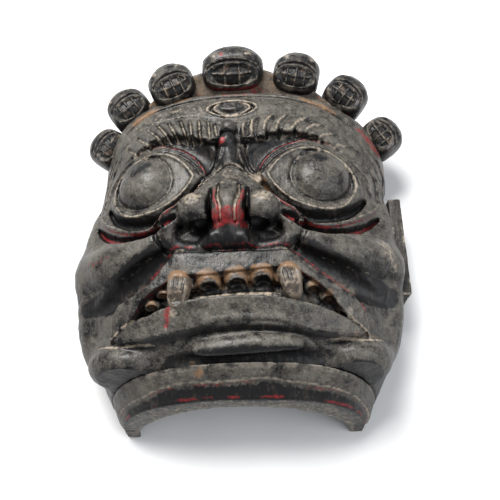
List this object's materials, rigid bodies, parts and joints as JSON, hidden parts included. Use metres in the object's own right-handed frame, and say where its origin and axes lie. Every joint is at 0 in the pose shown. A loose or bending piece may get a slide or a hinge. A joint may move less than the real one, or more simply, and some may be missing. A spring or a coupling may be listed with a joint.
{
  "type": "carved wooden mask",
  "caption": "Carved wooden wrathful protector mask: hollow three-eyed face with bared fangs, a chin collar, a side board and a crown of small skulls.",
  "frame": {"origin": "centre of the rectangle that the mask covers, on the plane of its open back", "axes": "+X to the viewer's right, +Y up the face towards the crown, +Z out of the face"},
  "size_m": [0.2692, 0.2946, 0.118],
  "materials": {
    "face_lacquer": "aged near-black lacquer over carved wood, red and ochre paint left in the grooves",
    "skull_lacquer": "aged near-black lacquer, worn at the raised edges",
    "crown_wood": "worn brown-black wood",
    "tooth_wood": "darkened cream paint, rust-brown at the gum",
    "plate_wood": "weathered dark wood with pale worn edges",
    "peg_wood": "plain whittled wood",
    "nail_iron": "dark forged iron"
  },
  "bodies": {
    "root": {"face_shell": "face_lacquer", "chin_collar": "face_lacquer", "crown_band": "crown_wood", "skull_center": "skull_lacquer", "skull_right_1": "skull_lacquer", "skull_left_1": "skull_lacquer", "skull_right_2": "skull_lacquer", "skull_left_2": "skull_lacquer", "skull_right_3": "skull_lacquer", "skull_left_3": "skull_lacquer", "fang_left": "tooth_wood", "fang_right": "tooth_wood", "side_plate": "plate_wood", "skull_pegs": "peg_wood", "crown_pegs": "peg_wood", "collar_pegs": "peg_wood", "plate_nails": "nail_iron"}
  },
  "joints": []
}
